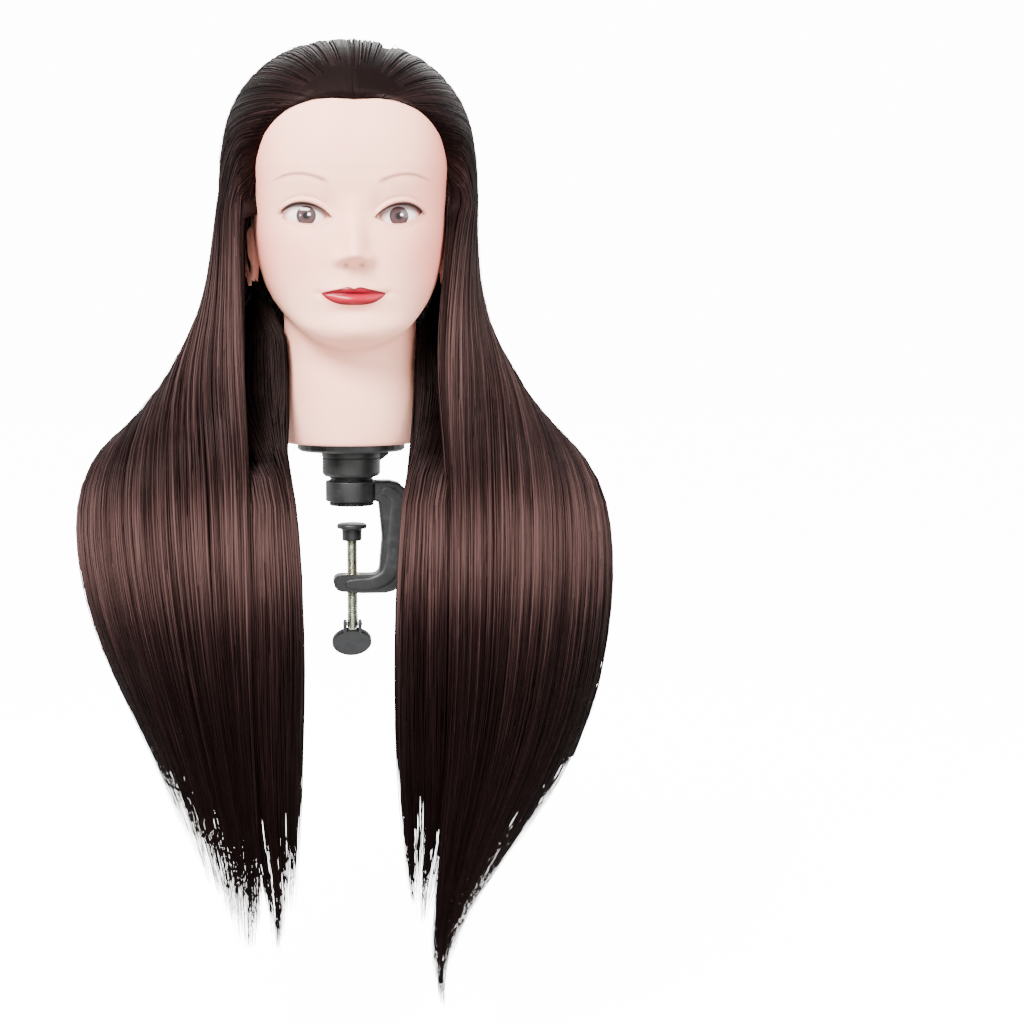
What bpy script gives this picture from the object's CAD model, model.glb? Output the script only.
"""The looks of a hairdresser's training head on its table clamp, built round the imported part.

Everything is in metres in the part's own frame: the origin is the middle of the clamp's upper jaw,
the head faces -Y and +Z is up. Heights marked "above the neck" start at the neck's base.
"""

import math

import bmesh
import bpy
import numpy as np
from mathutils import Matrix, Vector


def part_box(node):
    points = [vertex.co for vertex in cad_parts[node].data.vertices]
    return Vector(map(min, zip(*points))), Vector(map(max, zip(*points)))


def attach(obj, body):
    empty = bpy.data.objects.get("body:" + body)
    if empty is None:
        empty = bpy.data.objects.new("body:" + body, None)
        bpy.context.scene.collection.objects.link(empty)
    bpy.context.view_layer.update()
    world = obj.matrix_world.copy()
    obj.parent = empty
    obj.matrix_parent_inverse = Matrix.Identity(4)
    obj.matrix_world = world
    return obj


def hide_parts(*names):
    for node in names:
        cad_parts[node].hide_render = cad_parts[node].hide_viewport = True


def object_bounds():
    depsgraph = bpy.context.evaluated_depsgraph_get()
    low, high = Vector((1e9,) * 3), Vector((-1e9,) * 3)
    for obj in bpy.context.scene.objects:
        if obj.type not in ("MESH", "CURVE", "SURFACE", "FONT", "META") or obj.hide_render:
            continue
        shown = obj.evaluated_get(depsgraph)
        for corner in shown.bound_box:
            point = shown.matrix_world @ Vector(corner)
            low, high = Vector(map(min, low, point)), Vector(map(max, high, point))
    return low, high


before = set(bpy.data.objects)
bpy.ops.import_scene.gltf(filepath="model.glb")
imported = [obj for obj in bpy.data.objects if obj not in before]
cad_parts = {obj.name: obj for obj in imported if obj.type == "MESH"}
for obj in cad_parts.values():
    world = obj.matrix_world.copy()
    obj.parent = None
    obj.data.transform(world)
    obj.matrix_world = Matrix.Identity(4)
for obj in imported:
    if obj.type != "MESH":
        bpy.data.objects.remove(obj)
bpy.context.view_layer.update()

MM = 0.001
rng = np.random.default_rng(11)

NECK_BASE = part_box("head_skin")[0].z
TRAY_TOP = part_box("tray")[1].z

# Head: the same driving sizes as the part's
NECK_RADIUS = 48.8 * MM
NECK_SWELL = 1.7 * MM
NECK_TOP = 110 * MM
NECK_BLEND = 9 * MM
SKULL_CENTRE = 5 * MM
DOME_START = 200 * MM
DOME_TOP = 285 * MM
DOME_POWER = 2.2
FACE_POWER = 2.5
SKIN = 4.5 * MM
# the search for the head's surface starts this many mm from its middle and goes in by one a step
RING_SEARCH = 125
CORE_INSET = 14 * MM
CORE_COLUMNS = 72
# heights of the core's rings, in mm
CORE_HEIGHTS = (40, 62, 74, 84, 96, 112, 130, 155, 185, 210, 232, 250, 262)
# height, front, back, half-width of the jaw and skull, in mm
HEAD_PROFILE = np.array(
    [
        (70, -64, -30, 8),
        (73, -73, -34, 19),
        (78, -80, -30, 29),
        (86, -83.5, -15, 40),
        (95, -82, 15, 48.5),
        (105, -82.5, 52, 56.5),
        (117, -84, 72, 62.5),
        (132, -84.5, 84, 67),
        (150, -85, 92, 70),
        (167, -85.5, 97, 71.5),
        (187, -88.5, 100, 72.5),
        (200, -90, 100, 73.5),
    ]
)

# Face, in mm: x from the face's own middle, h above the neck
FACE_MIDDLE = -1.5
EYE_X = 32.6
EYE_H = 165.4
EYE_HALF_WIDTH = 16.8
EYE_SLANT = 0.11
LID_RISE = 7.2
LID_DROP = 6.4
IRIS_RADIUS = 6.9
PUPIL_RADIUS = 2.3
EYE_HALF_SIZE = (19.5, 12.6, 14.0)
EYE_Y = -63.2
EYE_YAW = math.radians(20)
LASHES = 26
MOUTH_H = 110.6
MOUTH_HALF_WIDTH = 23.0
BROW_HALF_WIDTH = 21.5
EAR_CENTRE = (70.5, 14.0, 142.0)
EAR_HALF_SIZE = (5.0, 15.0, 26.5)

# Hair, in mm, with heights above the neck
CAP_BASE = 205.0
CAP_TOP = 297.0
CAP_HALF_WIDTH = 94.0
CAP_FRONT = -92.0
CAP_BACK = 116.0
HAIRLINE_HALF_WIDTH = 69.3
HAIRLINE_FOOT = 185.0
HAIRLINE_RISE = 62.0
HAIRLINE_POWER = 2.75
PANEL_TOP = 203.0
PANEL_OVERLAP = 34
# how far the hair's volume reaches down on the skull, as a share of the skull's size
SKULL_COVER = 0.985
SHOULDER_END = -60.0
MASS_END = -236.0
# heights of the hair's tips and crown in the part's frame, in metres, and the sheen from one (0)
# to the other (1)
HAIR_LOW = -0.37
HAIR_HIGH = 0.34
HAIR_SHEEN = [
    (0.0, 0.25),
    (0.15, 0.06),
    (0.31, 0.0),
    (0.4, 0.3),
    (0.46, 0.9),
    (0.51, 1.0),
    (0.56, 0.3),
    (0.61, 0.25),
    (0.7, 0.68),
    (0.78, 0.6),
    (0.87, 0.15),
    (1.0, 0.0),
]
# height, half-thickness, front edge (x, y), back edge (x, y) and bulge of each side's hair
LEFT_SIDE_HAIR = [
    (203, 7, 73, -42, -3, 113, 50),
    (170, 7, 73, -42, -3, 116, 52),
    (125, 7, 69, -43, 0, 116, 54),
    (95, 7, 65, -45, 20, 110, 52),
    (65, 8, 63, -50, 55, 96, 49),
    (40, 9, 63, -56, 108, 66, 38),
    (18, 9, 64, -62, 146, 34, 28),
    (0, 10, 65, -67, 168, 12, 23),
    (-20, 11, 66, -70, 182, -2, 19),
    (-52, 11, 66, -74, 190, -10, 17),
    (-92, 11, 66, -76, 193, -14, 16),
    (-133, 11, 66, -76, 191, -18, 15),
    (-182, 11, 65, -75, 181, -24, 13),
    (-221, 10, 64, -74, 172, -30, 11),
    (-278, 7, 61, -71, 131, -48, 6),
    (-335, 5, 55, -68, 88, -58, 3),
    (-381, 3, 54, -65, 73, -62, 1),
    (-418, 1.2, 62, -63, 67, -62, 0.5),
]
RIGHT_SIDE_HAIR = [
    (203, 7, 77, -44, -3, 113, 50),
    (170, 7, 79, -42, -3, 116, 51),
    (125, 7, 79, -42, 0, 116, 53),
    (95, 7, 79, -44, 22, 110, 51),
    (65, 8, 79, -50, 62, 96, 48),
    (40, 9, 79, -56, 118, 66, 36),
    (18, 9, 79, -62, 160, 34, 28),
    (0, 10, 78, -67, 184, 12, 23),
    (-20, 11, 78, -70, 195, -2, 20),
    (-52, 11, 78, -74, 199, -10, 17),
    (-92, 11, 78, -76, 196, -14, 16),
    (-133, 11, 78, -76, 187, -20, 14),
    (-182, 11, 78, -75, 165, -30, 11),
    (-221, 10, 77, -74, 146, -40, 9),
    (-278, 8, 74, -71, 126, -50, 6),
    (-335, 5, 72, -68, 116, -56, 4),
    (-368, 2, 78, -66, 112, -58, 2),
]
LEFT_NAPE_HAIR = [
    (176, 3, 74, 4, 40, 78, 16),
    (112, 4, 68, 4, 30, 88, 13),
    (85, 5, 51, -20, 32, 84, 26),
    (60, 5, 47, -29, 40, 74, 28),
    (35, 6, 46, -35, 68, 50, 20),
    (12, 6, 44, -46, 82, 10, 8),
    (-8, 7, 41, -55, 82, -40, 5),
    (-30, 8, 37, -58, 80, -60, 4),
    (-60, 9, 34, -60, 80, -64, 4),
    (-133, 9, 30, -61, 80, -66, 4),
    (-221, 8, 29, -61, 78, -66, 3),
    (-278, 6, 32, -61, 72, -64, 2),
    (-335, 4, 38, -61, 56, -62, 1),
    (-360, 1.5, 44, -61, 51, -62, 0.5),
]
RIGHT_NAPE_HAIR = [
    (176, 3, 74, 4, 40, 78, 16),
    (112, 4, 68, 4, 30, 88, 13),
    (85, 5, 51, -20, 32, 84, 34),
    (60, 5, 48, -29, 40, 74, 36),
    (35, 6, 48, -35, 74, 50, 26),
    (12, 6, 49, -46, 90, 10, 12),
    (-8, 7, 50, -55, 86, -40, 5),
    (-30, 8, 47, -58, 86, -60, 4),
    (-60, 9, 44, -60, 88, -64, 4),
    (-133, 9, 41, -61, 88, -66, 4),
    (-221, 8, 42, -61, 86, -66, 3),
    (-278, 6, 44, -61, 80, -64, 2),
    (-335, 4, 48, -61, 68, -62, 1),
    (-370, 1.5, 54, -61, 64, -62, 0.5),
]

# Clamp, in mm
THREAD_PITCH = 1.25
THREAD_DEPTH = 0.62
GRIP_FLUTES = 10
JAW_TEETH = 26
PIN_HEIGHT = -90

# Camera and light; the surround as a light, and as the camera sees it
CAMERA_PLACE = (-0.080, -1.590, 0.160)
CAMERA_AIM = (0.121, 0.0, -0.007)
CAMERA_LENS = 74.9
FLOOR_DROP = 0.06
SURROUND_LIGHT = 2.0
SURROUND_SEEN = 18.0

# Node materials


def tone(red, green, blue):
    """A linear colour from the usual 0 to 255 values."""
    values = []
    for value in (red, green, blue):
        part = value / 255
        values.append(part / 12.92 if part <= 0.04045 else ((part + 0.055) / 1.055) ** 2.4)
    return (*values, 1.0)


class Look:
    """A material under construction: a Principled shader and the nodes that feed it."""

    def __init__(self, name, **constants):
        self.material = bpy.data.materials.new(name)
        self.material.use_nodes = True
        self.tree = self.material.node_tree
        self.shader = self.tree.nodes["Principled BSDF"]
        for key, value in constants.items():
            self.shader.inputs[key.replace("_", " ")].default_value = value

    def node(self, kind, inputs=None, **settings):
        made = self.tree.nodes.new(kind)
        for key, value in settings.items():
            setattr(made, key, value)
        for key, value in (inputs or {}).items():
            self.feed(made.inputs[key], value)
        return made

    def feed(self, socket, value):
        if isinstance(value, bpy.types.NodeSocket):
            self.tree.links.new(value, socket)
        else:
            socket.default_value = value

    def set(self, key, value):
        self.feed(self.shader.inputs[key], value)

    def mix(self, factor, first, second):
        made = self.node("ShaderNodeMix", data_type="RGBA", clamp_factor=True)
        for index, value in ((0, factor), (6, first), (7, second)):
            self.feed(made.inputs[index], value)
        return made.outputs[2]

    def ramp(self, value, low, high, to_low=0.0, to_high=1.0, kind="SMOOTHSTEP"):
        """Value taken from the range low..high to to_low..to_high."""
        keys = ("Value", "From Min", "From Max", "To Min", "To Max")
        inputs = dict(zip(keys, (value, low, high, to_low, to_high)))
        return self.node("ShaderNodeMapRange", inputs, interpolation_type=kind).outputs[0]

    def math(self, operation, first, second):
        made = self.node("ShaderNodeMath", operation=operation)
        self.feed(made.inputs[0], first)
        self.feed(made.inputs[1], second)
        return made.outputs[0]

    def times(self, first, second):
        return self.math("MULTIPLY", first, second)

    def plus(self, first, second):
        return self.math("ADD", first, second)

    def field(self, name):
        """A number that the mesh stores at each point."""
        return self.node("ShaderNodeAttribute", attribute_name=name).outputs["Fac"]

    def place(self):
        return self.node("ShaderNodeTexCoord").outputs["Object"]

    def noise(self, vector, scale, detail=3.0, roughness=0.5):
        inputs = {"Vector": vector, "Scale": scale, "Detail": detail, "Roughness": roughness}
        return self.node("ShaderNodeTexNoise", inputs).outputs["Fac"]

    def flat_place(self, x, y):
        """A place in a texture's plane, from two numbers."""
        return self.node("ShaderNodeCombineXYZ", {"X": x, "Y": y}).outputs[0]

    def bump(self, height, distance, strength=1.0, normal=None):
        made = self.node("ShaderNodeBump", {"Height": height, "Distance": distance, "Strength": strength})
        if normal is not None:
            self.feed(made.inputs["Normal"], normal)
        return made.outputs["Normal"]


def skin_look():
    """Pale pink soft vinyl, with painted brows, lips and lash lines."""
    look = Look("skin_vinyl", Specular_IOR_Level=0.25, Subsurface_Weight=0.08, Subsurface_Scale=0.004)
    place = look.place()
    patchy = look.noise(place, 22.0, 2.0)
    pale, rosy = tone(255, 190, 166), tone(252, 160, 138)
    colour = look.mix(look.ramp(patchy, 0.3, 0.75, 0.0, 0.35), pale, rosy)
    colour = look.mix(look.times(look.field("flush"), 0.75), colour, tone(236, 96, 88))
    strokes = look.noise(place, 1400.0, 2.0, 0.6)
    brow = look.times(look.field("brow"), look.ramp(strokes, 0.3, 0.7, 0.75, 1.0))
    colour = look.mix(brow, colour, tone(132, 88, 76))
    colour = look.mix(look.times(look.field("shade"), 0.8), colour, tone(128, 70, 62))
    colour = look.mix(look.field("lash"), colour, tone(34, 14, 14))
    lip = look.field("lip")
    glow = look.ramp(lip, -4.5, 0.0, 0.0, 0.32)
    colour = look.mix(glow, colour, tone(236, 112, 106))
    lip_colour = look.mix(look.ramp(lip, 0.2, 3.2), tone(92, 3, 16), tone(152, 8, 36))
    lip_colour = look.mix(look.ramp(look.field("seam"), 0.0, 1.0, 0.0, 0.75), lip_colour, tone(80, 10, 18))
    inside = look.ramp(lip, -0.25, 0.35)
    colour = look.mix(inside, colour, lip_colour)
    colour = look.mix(look.field("scalp"), colour, look.mix(patchy, tone(14, 6, 6), tone(30, 16, 14)))
    look.set("Base Color", colour)
    look.set("Roughness", look.ramp(lip, -0.2, 0.6, 0.5, 0.26))
    pores = look.noise(place, 900.0, 4.0, 0.6)
    look.set("Normal", look.bump(pores, 0.00012, 0.5))
    return look.material


def eye_look():
    """A glossy doll's eye: white, grey-brown iris with a dark rim, pupil and a painted catch light."""
    look = Look("eye_glaze", Roughness=0.06, Specular_IOR_Level=0.3, Coat_Weight=0.25, Coat_Roughness=0.03)
    out = look.field("iris")
    place = look.place()
    vein = look.noise(place, 260.0, 3.0)
    white = look.mix(look.ramp(vein, 0.45, 0.75, 0.0, 0.4), tone(232, 216, 214), tone(222, 184, 180))
    white = look.mix(look.ramp(out, 10.0, 16.5), white, tone(196, 116, 108))
    spoke_place = look.flat_place(look.field("spoke"), look.times(out, 0.35))
    spokes = look.noise(spoke_place, 5.0, 3.0, 0.7)
    iris = look.mix(look.ramp(spokes, 0.3, 0.7), tone(34, 20, 24), tone(92, 68, 68))
    iris = look.mix(look.ramp(out, 2.2, 4.2, 0.55, 0.0), iris, tone(44, 22, 22))
    iris = look.mix(look.ramp(out, 5.2, 6.7, 0.0, 0.85), iris, tone(36, 20, 24))
    colour = look.mix(look.ramp(out, IRIS_RADIUS - 0.35, IRIS_RADIUS + 0.25), iris, white)
    pupil = look.ramp(out, PUPIL_RADIUS - 0.3, PUPIL_RADIUS + 0.3, 1.0, 0.0)
    colour = look.mix(pupil, colour, tone(14, 8, 10))
    colour = look.mix(look.ramp(look.field("lid_shadow"), 0.0, 1.0, 0.0, 0.6), colour, tone(84, 48, 48))
    colour = look.mix(look.ramp(look.field("glint"), 0.8, 1.5, 0.95, 0.0), colour, tone(255, 255, 255))
    look.set("Base Color", colour)
    return look.material


def hair_look(name, lift=1.0, roughness=(0.36, 0.52)):
    """Straight dark brown hair: streaks along each lock, brightest where it swells at the shoulder."""
    look = Look(name, Specular_IOR_Level=0.08, Specular_Tint=(1.0, 0.72, 0.66, 1.0), Anisotropic=0.4)
    across, along, tint = look.field("across"), look.field("along"), look.field("tint")
    strand = look.flat_place(across, look.times(along, 0.012))
    streak = look.noise(strand, 0.45, 4.0, 0.6)
    fine = look.noise(strand, 3.2, 3.0, 0.6)
    light = look.plus(look.times(streak, 0.4), look.times(tint, 0.25))
    light = look.plus(light, look.times(fine, 0.35))
    height = look.node("ShaderNodeSeparateXYZ", {"Vector": look.place()}).outputs["Z"]
    wavy = look.plus(height, look.times(look.noise(strand, 0.2, 2.0), 0.08))
    rise = look.ramp(wavy, HAIR_LOW + 0.04, HAIR_HIGH + 0.04, kind="LINEAR")
    sheen = look.node("ShaderNodeValToRGB", {"Fac": rise})
    sheen.color_ramp.interpolation = "B_SPLINE"
    stops = sheen.color_ramp.elements
    for place, value in HAIR_SHEEN:
        stop = stops[0] if place == 0.0 else stops[-1] if place == 1.0 else stops.new(place)
        stop.color = (value, value, value, 1.0)
    light = look.plus(light, look.times(sheen.outputs["Color"], 0.42))
    dark, middle, warm = tone(6, 1, 1), tone(25, 13, 13), tone(76, 55, 52)
    colour = look.mix(look.ramp(light, 0.45, 0.72), dark, middle)
    colour = look.mix(look.ramp(light, 0.62, 1.02, 0.0, lift), colour, warm)
    colour = look.mix(look.ramp(look.field("root"), 0.0, 1.0, 0.0, 0.9), colour, tone(3, 1, 1))
    look.set("Base Color", colour)
    look.set("Roughness", look.ramp(fine, 0.3, 0.7, *roughness))
    look.set("Normal", look.bump(fine, 0.0003, 0.5))
    return look.material


def plastic_look(name, shade=(24, 24, 24), grain=1500.0, depth=0.00012, roughness=(0.38, 0.6)):
    """Black moulded plastic with a faint grain, scuffed greyer in places."""
    look = Look(name, Specular_IOR_Level=0.45)
    place = look.place()
    scuff = look.noise(place, 90.0, 6.0, 0.62)
    pale = tone(*(min(255, int(value * 1.5) + 6) for value in shade))
    colour = look.mix(look.ramp(scuff, 0.52, 0.72, 0.0, 0.75), tone(*shade), pale)
    look.set("Base Color", colour)
    look.set("Roughness", look.ramp(scuff, 0.3, 0.75, *roughness))
    grains = look.noise(place, grain, 3.0, 0.6)
    waves = look.noise(place, 160.0, 3.0, 0.5)
    normal = look.bump(grains, depth, 0.8)
    look.set("Normal", look.bump(waves, 0.0005, 0.25, normal))
    return look.material


def metal_look(name, colour, dull, roughness=(0.22, 0.42)):
    """Plated metal with faint handling marks."""
    look = Look(name, Metallic=1.0)
    place = look.place()
    marks = look.noise(place, 220.0, 5.0, 0.6)
    look.set("Base Color", look.mix(look.ramp(marks, 0.4, 0.7), tone(*colour), tone(*dull)))
    look.set("Roughness", look.ramp(marks, 0.3, 0.7, *roughness))
    look.set("Normal", look.bump(marks, 0.00008, 0.5))
    return look.material


def foam_look(name):
    look = Look(name, Roughness=0.9)
    place = look.place()
    cells = look.node("ShaderNodeTexVoronoi", {"Vector": place, "Scale": 700.0}).outputs["Distance"]
    look.set("Base Color", look.mix(look.ramp(cells, 0.1, 0.8), tone(205, 178, 120), tone(238, 214, 160)))
    look.set("Normal", look.bump(cells, 0.0004, 0.8))
    return look.material


def neck_fitting_look(name):
    look = Look(name)
    place = look.place()
    cloud = look.noise(place, 120.0, 4.0)
    look.set("Base Color", look.mix(look.ramp(cloud, 0.35, 0.7), tone(226, 218, 204), tone(206, 196, 180)))
    look.set("Roughness", look.ramp(cloud, 0.3, 0.7, 0.45, 0.62))
    look.set("Normal", look.bump(look.noise(place, 1300.0, 3.0), 0.0001, 0.6))
    return look.material


# Mesh helpers


def build_mesh(name, points, faces, look, body, stands_for=(), fields=None, sharp=None, turn=True):
    """A piece from points, faces and numbers stored at its points, riding on a body.

    turn makes all faces turn outwards; hairs are built that way already.
    """
    mesh = bpy.data.meshes.new(name)
    mesh.from_pydata(np.asarray(points).tolist(), [], faces)
    if turn:
        work = bmesh.new()
        work.from_mesh(mesh)
        bmesh.ops.recalc_face_normals(work, faces=work.faces)
        work.to_mesh(mesh)
        work.free()
    for key, values in (fields or {}).items():
        layer = mesh.attributes.new(key, "FLOAT", "POINT")
        layer.data.foreach_set("value", np.asarray(values, dtype=np.float32).ravel())
    mesh.shade_smooth()
    if sharp is not None:
        mesh.set_sharp_from_angle(angle=math.radians(sharp))
    mesh.materials.append(look)
    found = bpy.data.objects.new(name, mesh)
    bpy.context.collection.objects.link(found)
    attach(found, body)
    if stands_for:
        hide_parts(*stands_for)
    return found


def tube_faces(rows, columns, closed_rows=False, caps=(True, True)):
    """Faces between rings of points; each end is capped unless the rings close on each other."""
    faces = []
    pairs = rows if closed_rows else rows - 1
    for i in range(pairs):
        low, high = i * columns, (i + 1) % rows * columns
        for j in range(columns):
            k = (j + 1) % columns
            faces.append((low + j, low + k, high + k, high + j))
    if not closed_rows:
        if caps[0]:
            faces.append(tuple(range(columns))[::-1])
        if caps[1]:
            faces.append(tuple(range((rows - 1) * columns, rows * columns)))
    return faces


def round_radius(across, along, power):
    """1 on a rounded square's outline, less inside it and more outside."""
    return (across**power + along**power) ** (1 / power)


def on_head(points):
    """Places in the part's own frame, from places in mm with heights above the neck."""
    points = np.asarray(points) * MM
    points[:, 2] += NECK_BASE
    return points


def hermite(values, slopes, index, part, gap=1.0):
    """Places on the smooth curve through rows of values, part of the way past each index."""
    s2, s3 = part**2, part**3
    found = (2 * s3 - 3 * s2 + 1) * values[index] + (s3 - 2 * s2 + part) * gap * slopes[index]
    return found + (3 * s2 - 2 * s3) * values[index + 1] + (s3 - s2) * gap * slopes[index + 1]


def smoothstep(value, low, high):
    part = np.clip((value - low) / (high - low), 0, 1)
    return part * part * (3 - 2 * part)


def hill(x, h, middle, height, wide, tall):
    """A round bump, 1 high at its middle."""
    return np.exp(-(((x - middle) / wide) ** 2) - ((h - height) / tall) ** 2)


# Head


def head_sections(height):
    """Middle, front reach, back reach, half-width and ring centre of the skull at each height."""
    table = HEAD_PROFILE * MM
    low = np.clip(height, table[0, 0], DOME_START)
    front, back, half_width = (np.interp(low, table[:, 0], table[:, k]) for k in (1, 2, 3))
    over = np.clip((height - DOME_START) / (DOME_TOP - DOME_START), 0, 1)
    share = (1 - over**DOME_POWER) ** (1 / DOME_POWER)
    centre = SKULL_CENTRE * np.clip((height - 90 * MM) / (45 * MM), 0, 1)
    lobe = (front + back) / 2
    return lobe, (lobe - front) * share, (back - lobe) * share, half_width * share, centre


def outside(x, y, height):
    """Roughly how far points lie outside the smooth join of skull, jaw and neck."""
    lobe, front, back, half_width, _ = head_sections(height)
    reach = np.where(y < lobe, front, back)
    across = np.abs(x / np.maximum(half_width, MM))
    along = np.abs((y - lobe) / np.maximum(reach, MM))
    skull = round_radius(across, along, FACE_POWER) - 1
    skull = skull * np.maximum(np.minimum(half_width, reach), MM)
    skull = np.where(height < HEAD_PROFILE[0, 0] * MM, MM * 1000, skull)
    swell = NECK_SWELL * np.sin(np.pi * np.clip(height / (60 * MM), 0, 1))
    neck = np.hypot(x, y) - NECK_RADIUS - swell
    neck = np.where(height > NECK_TOP, MM * 1000, neck)
    mix = np.clip(0.5 + 0.5 * (skull - neck) / NECK_BLEND, 0, 1)
    return skull + (neck - skull) * mix - NECK_BLEND * mix * (1 - mix)


def head_ring(height, angle):
    """Distance from the ring's centre to the head's surface at each angle, and that centre's y."""
    centre = float(head_sections(np.array(height))[4])
    radii = np.linspace(RING_SEARCH * MM, 0, RING_SEARCH + 1)

    def gap(radius, turn):
        return outside(radius * np.sin(turn), centre - radius * np.cos(turn), np.full_like(radius, height))

    grid = np.broadcast_to(radii, (len(angle), len(radii)))
    first = np.argmax(gap(grid, angle[:, None]) < 0, axis=1)
    high = radii[np.maximum(first - 1, 0)]
    low = radii[first]
    for _ in range(14):
        middle = (low + high) / 2
        out = gap(middle, angle) > 0
        high = np.where(out, middle, high)
        low = np.where(out, low, middle)
    return low, centre


def smooth_profile():
    """Softens the corners of the skull's profile, so that no ridge shows between its heights."""
    global HEAD_PROFILE
    fine = np.arange(HEAD_PROFILE[0, 0], HEAD_PROFILE[-1, 0] + 0.5, 1.0)
    columns = [np.interp(fine, HEAD_PROFILE[:, 0], HEAD_PROFILE[:, k]) for k in (1, 2, 3)]
    soft = []
    for column in columns:
        wide = np.pad(column, 6, mode="reflect", reflect_type="odd")
        kernel = np.hanning(13)
        soft.append(np.convolve(wide, kernel / kernel.sum(), mode="valid"))
    HEAD_PROFILE = np.stack([fine, *soft], axis=1)


def eye_frame(x, h, side):
    """Distances outward along and up from one eye's slanted middle line."""
    out = (x - side * EYE_X) * side
    return out, h - EYE_H - EYE_SLANT * out


def lid_lines(out):
    """Heights of the upper and lower lid above the eye's middle line."""
    part = np.clip(np.abs(out / EYE_HALF_WIDTH), 0, 1)
    upper = LID_RISE * (1 - part**2.1) ** 0.85
    lower = -LID_DROP * (1 - part**2.3) ** 0.95
    return upper, lower


def eye_inside(x, h, side):
    """Roughly how far a point is inside the eye's opening, in mm."""
    out, up = eye_frame(x, h, side)
    upper, lower = lid_lines(out)
    beyond = np.maximum(np.abs(out) - EYE_HALF_WIDTH, 0)
    return np.minimum(upper - up, up - lower) - beyond


def nose_relief(x, h):
    climb = np.clip((181 - h) / 44, 0, 1)
    drop = smoothstep(h, 127.5, 136.5)
    width = 6.2 + 3.2 * climb
    ridge = 15.0 * climb**1.3 * drop * np.exp(-(np.abs(x / width) ** 2.1))
    tip = 2.2 * hill(x, h, 0, 136.5, 8, 6)
    wings = sum(4.6 * hill(x, h, side * 10.3, 133.5, 4.6, 4.4) for side in (-1, 1))
    pits = sum(-2.4 * hill(x, h, side * 5.6, 129.8, 2.3, 1.5) for side in (-1, 1))
    return ridge + tip + wings + pits


def mouth_relief(x, h):
    muzzle = 2.6 * hill(x, h, 0, 109, 24, 11)
    upper = 2.2 * hill(x, h, 0, 113.2, 16, 2.4)
    lower = 3.4 * hill(x, h, 0, 105.6, 13.5, 3.4)
    seam = -1.9 * hill(x, h, 0, MOUTH_H - 0.4, 19, 0.9)
    under = -2.2 * hill(x, h, 0, 97.5, 14, 3.4)
    channel = -0.8 * hill(x, h, 0, 121, 2.4, 5)
    corners = sum(-1.2 * hill(x, h, side * 24.5, MOUTH_H, 3, 3) for side in (-1, 1))
    return muzzle + upper + lower + seam + under + channel + corners


def face_relief(x, h):
    """How far each point of the face stands out from the plain skull, in mm."""
    x = x - FACE_MIDDLE
    total = nose_relief(x, h) + mouth_relief(x, h) + 3.4 * hill(x, h, 0, 83, 13, 8)
    for side in (-1, 1):
        total = total - 3.6 * hill(x, h, side * EYE_X, 167, 19, 10)
        total = total - 2.2 * hill(x, h, side * 17, 171, 5, 9)
        total = total + 1.2 * hill(x, h, side * 33, 189, 20, 6)
        total = total + 1.8 * hill(x, h, side * 36, 138, 15, 16)
        out, up = eye_frame(x, h, side)
        upper, lower = lid_lines(out)
        near = np.exp(-((np.maximum(np.abs(out) - 13, 0) / 4) ** 2))
        lids = 1.5 * np.exp(-(((up - upper - 1.6) / 2.2) ** 2))
        lids = lids + 0.9 * np.exp(-(((up - lower + 1.2) / 1.8) ** 2))
        fold = -0.8 * np.exp(-(((up - upper - 5.2) / 1.1) ** 2))
        total = total + near * (lids + fold)
        total = total - 6.5 * smoothstep(eye_inside(x, h, side), -0.1, 0.7)
    return total


def brow_field(x, h):
    """Density of the painted brows: thin arches that fade towards their outer ends."""
    total = 0.0
    for side in (-1, 1):
        out = x * side
        part = np.clip((out - 16) / (2 * BROW_HALF_WIDTH), 0, 1)
        line = 186.5 + 7.5 * np.sin(np.pi * np.clip(part * 0.83 + 0.03, 0, 1)) - 2.2 * part**3
        thick = 1.7 - 0.9 * part
        edge = np.exp(-(((h - line) / thick) ** 2))
        ends = smoothstep(out, 15, 22) * (1 - smoothstep(out, 47, 60))
        total = total + edge * ends
    return np.clip(total, 0, 1)


def lip_field(x, h):
    """Roughly how far inside the painted lips a point is, in mm."""
    part = np.clip(np.abs(x) / MOUTH_HALF_WIDTH, 0, 1)
    bow = 1.1 * np.exp(-(((np.abs(x) - 5.4) / 4.2) ** 2)) - 0.7 * np.exp(-((x / 2.4) ** 2))
    top = MOUTH_H + 3.6 * (1 - part**1.9) + bow * (1 - part)
    bottom = MOUTH_H - 8.6 * (1 - part**2.9) ** 0.85
    beyond = np.maximum(np.abs(x) - MOUTH_HALF_WIDTH, 0)
    return np.minimum(top - h, h - bottom) - beyond


def lash_field(x, h):
    """The dark painted line along the upper lid, thicker outwards, and the thin lower one."""
    total = 0.0
    for side in (-1, 1):
        out, up = eye_frame(x, h, side)
        upper, lower = lid_lines(out)
        thick = 1.3 + 1.4 * smoothstep(out, -14, 12)
        reach = 1 - smoothstep(np.abs(out), EYE_HALF_WIDTH - 0.4, EYE_HALF_WIDTH + 2.0)
        line = (1 - smoothstep(up - upper, thick * 0.45, thick)) * smoothstep(up - upper, -1.2, -0.4)
        low = 0.55 * np.exp(-(((up - lower + 0.3) / 0.6) ** 2)) * smoothstep(out, -20, 2)
        flick = hill(out, up, EYE_HALF_WIDTH + 0.6, -0.6, 2.2, 1.0) * 0.8
        total = np.maximum(total, np.maximum(line, low) * reach)
        total = np.maximum(total, flick)
    return np.clip(total, 0, 1)


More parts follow.
